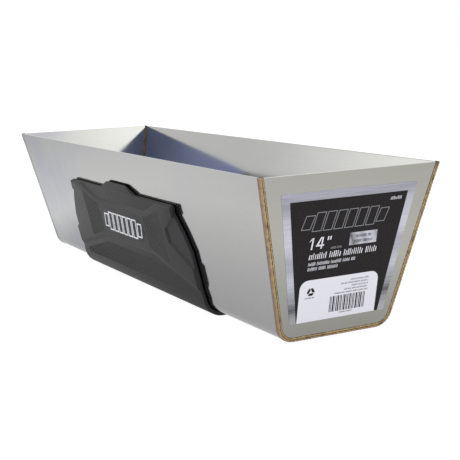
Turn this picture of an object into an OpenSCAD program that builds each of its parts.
// Mud pan for drywall finishing: a welded sheet-steel trough in a slip-on rubber grip.
// X runs along the pan (the labelled end is +X), Y across it and Z up.
// The origin is the middle of the grip's underside, on which the pan stands.

/* [Pan] */
// Length of the open rim, end to end
rim_length = 356; // [300:1:430]
// Width of the open rim, side to side
rim_width = 102.5; // [92:0.5:125]
// Depth from the rim to the pan's underside
pan_depth = 84; // [76:0.5:101]
// Lean of the two long walls from upright, in degrees
side_lean = 13; // [8:0.5:15]
// Lean of the two end plates from upright, in degrees
end_lean = 11.6; // [6:0.2:16]
// Outside radius of the two long bends
bend_r = 9; // [6:0.5:12]
// Thickness of the bent trough sheet
sheet_t = 0.9; // [0.7:0.1:1.5]
// Thickness of the end plates
end_t = 0.9; // [0.7:0.1:1.5]

/* [Welds] */
// Gap left between an end plate's edge and the trough, filled by the weld
weld_gap = 0.4; // [0.2:0.1:0.8]
// Height of the bead above the sheet
weld_proud = 0.35; // [0.2:0.05:0.6]
// How far the bead laps past the joint onto the plate
weld_lap = 0.4; // [0.2:0.1:1.2]
// Width of the bead on the trough's walls
weld_wrap = 1.8; // [1:0.1:3]
// Leg of the bead inside the corner
weld_root = 1.0; // [0.6:0.1:1.6]

/* [End label] */
// Thickness of the sticker
label_t = 0.15; // [0.1:0.05:0.3]
// Bare plate above the sticker, measured up the plate
label_top_margin = 9; // [6:0.5:14]
// Bare plate below the sticker, measured up the plate
label_foot_margin = 9.4; // [6:0.5:16]
// Bare plate beside the sticker's top corners
label_upper_side_margin = 10; // [6:0.5:16]
// Bare plate beside the sticker's bottom corners
label_lower_side_margin = 6; // [4:0.5:12]

/* [Grip layers] */
// Clearance between the pan and the grip's core, all round
seat_gap = 0.25; // [0.15:0.05:0.6]
// Thickness of the spring core
core_t = 0.5; // [0.4:0.05:1]
// Thickness of the cover, without its raised panels
cover_t = 1.9; // [1.4:0.05:3]
// Height of the raised panel on each side of the cover
panel_t = 1.2; // [0.8:0.1:1.6]
// Setback of the core behind the cover's edge, which leaves a dark line there
core_setback = 1.2; // [0.8:0.1:4]

/* [Grip outline] */
// Place of the grip's middle along the pan
grip_shift = -3; // [-20:0.5:20]
// Length of the grip along its straight top edge
grip_top_length = 156; // [120:1:190]
// Length of the grip at its widest, below the middle of the wall
grip_belly_length = 178; // [140:1:200]
// Length of the grip under the pan
grip_foot_length = 182; // [140:1:200]
// Height of the top edge, measured up the long wall
grip_top_v = 60.8; // [50:0.1:67]
// Height of the belly, measured up the long wall
grip_belly_v = 35; // [25:0.5:42]
// Height at which the sides start to turn out to the foot, measured up the long wall
grip_foot_v = 16; // [12:0.5:22]
// Height of the thumb tab above the top edge
tab_rise = 4.9; // [2:0.1:8]
// Length of the thumb tab along its top
tab_top_length = 26; // [16:1:50]
// Length of the thumb tab where it leaves the top edge
tab_foot_length = 53; // [52:1:80]

/* [Panel and emblem] */
// Length of the raised panel's straight middle stretch
panel_length = 76; // [70:1:100]
// Drop from the grip's top edge to the raised panel's upper edge
panel_top_drop = 8.2; // [5:0.2:14]
// Height of the raised panel's lower edge, measured up the long wall
panel_foot_v = 26.5; // [22:0.5:30]
// Bare cover between the raised panel's ends and the grip's sides
panel_margin = 3; // [2:0.5:8]
// Length of the emblem plate
emblem_length = 68; // [50:1:80]
// Height of the emblem plate
emblem_height = 15; // [8:0.5:18]
// Depth of the pocket that holds the emblem plate
emblem_pocket = 0.6; // [0.3:0.1:1]
// How far the emblem plate stands out of its pocket
emblem_proud = 0.3; // [0.1:0.1:0.6]

/* [Hidden] */

// Flat strips in each long bend
bend_steps = 12;

// Half widths and half lengths of the pan's sharp outer corners, at its underside
base_half_width = rim_width / 2 - pan_depth * tan(side_lean);
base_half_length = rim_length / 2 - pan_depth * tan(end_lean);
plate_height = pan_depth / cos(end_lean);

// Outward offsets of each grip layer's outer face, on the walls and under the pan
core_out = seat_gap + core_t;
cover_out = core_out + cover_t;

// Height of the pan's underside above the surface that the grip stands on
pan_z = cover_out;

// Half lengths of the grip's outline
top_half = grip_top_length / 2;
belly_half = grip_belly_length / 2;
foot_half = grip_foot_length / 2;
foot_end_v = grip_foot_v / 2;
panel_top_v = grip_top_v - panel_top_drop;
emblem_v = (panel_top_v + panel_foot_v) / 2;

// Reach of the tools that cut, well past the pan on every side
reach = rim_length;

// Half width of the pan's outer face at a height, moved outwards by an offset
function wall_y(z, out) = base_half_width + z * tan(side_lean) + out / cos(side_lean);

// Half length of the pan's outer face at a height, moved outwards by an offset
function end_x(z, out) = base_half_length + z * tan(end_lean) + out / cos(end_lean);

// Half of the grip's outline up one wall, from the thumb tab to below the foot, drawn in by inset
function grip_half(inset) = [
    [tab_top_length / 2 - inset / 2, grip_top_v + tab_rise - inset],
    [tab_foot_length / 2 - inset / 2, grip_top_v - inset],
    [top_half - inset, grip_top_v - inset],
    [belly_half - inset, grip_belly_v],
    [belly_half - inset, grip_foot_v],
    [foot_half - inset, foot_end_v],
    [foot_half - inset, -pan_depth]
];

// Half of the raised panel's outline: straight in the middle, spreading towards the grip's side
function panel_half() = [
    [panel_length / 2, panel_top_v],
    [top_half - 4 * panel_margin, grip_top_v - panel_margin],
    [top_half - 2 * panel_margin, grip_top_v - panel_margin],
    [belly_half - panel_margin, grip_belly_v],
    [belly_half - panel_margin, grip_foot_v],
    [panel_length / 2, panel_foot_v]
];

// Points round one long bend, from where the wall ends to where the floor begins
function bend_arc(centre, bend) = [
    for (i = [0:bend_steps]) let (turn = side_lean + (90 - side_lean) * i / bend_steps)
        centre + bend * [cos(turn), -sin(turn)]
];

// A half outline and its mirror image, joined into one closed outline
function both_halves(half) = concat(half, [for (i = [len(half) - 1:-1:0]) [-half[i][0], half[i][1]]]);

// Lifts the pan and its grip so that the grip's underside is at zero
module raised() {
    translate([0, 0, pan_z]) children();
}

// Rounded trough section across the pan, moved outwards by an offset on every face
module section(out, top) {
    centre_z = bend_r;
    centre_y = wall_y(centre_z, -bend_r);
    polygon(both_halves(concat([[wall_y(top, out), top]], bend_arc([centre_y, centre_z], bend_r + out))));
}

// The section run along the whole pan, past both of its ends
module pan_run(out, top = pan_depth) {
    rotate([90, 0, 90]) linear_extrude(height = 2 * reach, center = true) section(out, top);
}

// Everything between the two leaning end planes, moved outwards by an offset
module between_ends(out) {
    low = -pan_depth;
    high = 2 * pan_depth;
    rotate([90, 0, 0]) linear_extrude(height = 2 * reach, center = true)
        polygon([
            [-end_x(low, out), low], [end_x(low, out), low],
            [end_x(high, out), high], [-end_x(high, out), high]
        ]);
}

// Keeps what lies on one end of the pan, +1 for the labelled end and -1 for the plain one
module at_end(end) {
    intersection() {
        children();
        translate([end * reach / 2, 0, 0]) cube([reach, reach, reach], center = true);
    }
}

// Puts a flat drawing on the labelled end plate's outer face: x across the pan, y up the plate
module on_label_end() {
    translate([base_half_length, 0, 0]) rotate([0, end_lean, 0]) rotate([90, 0, 90]) children();
}

// Puts a flat drawing on a long wall's outer face: x along the pan, y up the wall, z outwards
module on_wall(side) {
    mirror([0, side > 0 ? 1 : 0, 0])
        translate([grip_shift, -base_half_width, 0]) rotate([90 + side_lean, 0, 0]) children();
}

// Trims both halves of a U-shaped grip layer to an outline drawn on the walls
module grip_trim(inset) {
    for (side = [-1, 1]) intersection() {
        children();
        translate([0, side * reach / 2, 0]) cube([2 * reach, reach, 2 * reach], center = true);
        on_wall(side) linear_extrude(height = 2 * reach, center = true)
            polygon(both_halves(grip_half(inset)));
    }
}

// Six-sided plate with pointed ends, for the emblem and its pocket
module emblem_shape(height) {
    slant = emblem_height / 2;
    straight = emblem_length / 2 - slant;
    linear_extrude(height = height)
        polygon(both_halves([[straight, slant], [straight + slant, 0], [straight, -slant]]));
}

module end_plate(end) {
    inset = sheet_t + weld_gap;
    color("gainsboro") raised() at_end(end) difference() {
        intersection() {
            pan_run(-inset);
            between_ends(0);
        }
        between_ends(-end_t);
    }
}

module end_weld(end) {
    inset = sheet_t + weld_gap;
    color("rosybrown") raised() at_end(end) union() {
        // Cap that wraps the outside corner
        difference() {
            intersection() {
                pan_run(weld_proud);
                between_ends(weld_proud);
            }
            intersection() {
                pan_run(0);
                between_ends(0);
            }
            pan_run(-inset - weld_lap);
            between_ends(-weld_wrap);
        }
        // Web that fills the gap between plate and trough
        difference() {
            intersection() {
                pan_run(-sheet_t);
                between_ends(0);
            }
            pan_run(-inset);
            between_ends(-end_t);
        }
        // Bead inside the corner
        difference() {
            intersection() {
                pan_run(-sheet_t);
                between_ends(-end_t);
            }
            pan_run(-sheet_t - weld_root);
            between_ends(-end_t - weld_root);
        }
    }
}

module trough() {
    color("silver") raised() intersection() {
        difference() {
            pan_run(0);
            pan_run(-sheet_t, 2 * pan_depth);
        }
        between_ends(0);
    }
}

module label_end_plate() {
    end_plate(1);
}

module plain_end_plate() {
    end_plate(-1);
}

module label_end_weld() {
    end_weld(1);
}

module plain_end_weld() {
    end_weld(-1);
}

module end_label() {
    top = plate_height - label_top_margin;
    foot = label_foot_margin;
    top_half_width = wall_y(top * cos(end_lean), 0) - label_upper_side_margin;
    foot_half_width = wall_y(foot * cos(end_lean), 0) - label_lower_side_margin;
    color("black") raised() difference() {
        intersection() {
            between_ends(label_t);
            on_label_end() linear_extrude(height = 4 * label_t, center = true)
                polygon(both_halves([[top_half_width, top], [foot_half_width, foot]]));
        }
        between_ends(0);
    }
}

module grip_core() {
    color("black") raised() grip_trim(core_setback) difference() {
        pan_run(core_out);
        pan_run(seat_gap, 2 * pan_depth);
    }
}

module grip_cover() {
    color("darkslategray") raised() difference() {
        union() {
            grip_trim(0) difference() {
                pan_run(cover_out);
                pan_run(core_out, 2 * pan_depth);
            }
            for (side = [-1, 1]) on_wall(side) translate([0, 0, core_out])
                linear_extrude(height = cover_t + panel_t) polygon(both_halves(panel_half()));
        }
        for (side = [-1, 1]) on_wall(side)
            translate([0, emblem_v, cover_out + panel_t - emblem_pocket]) emblem_shape(reach);
    }
}

module emblem(side) {
    color("whitesmoke") raised() on_wall(side)
        translate([0, emblem_v, cover_out + panel_t - emblem_pocket])
            emblem_shape(emblem_pocket + emblem_proud);
}

module front_emblem() {
    emblem(-1);
}

module back_emblem() {
    emblem(1);
}

trough();
label_end_plate();
plain_end_plate();
label_end_weld();
plain_end_weld();
end_label();
grip_core();
grip_cover();
front_emblem();
back_emblem();
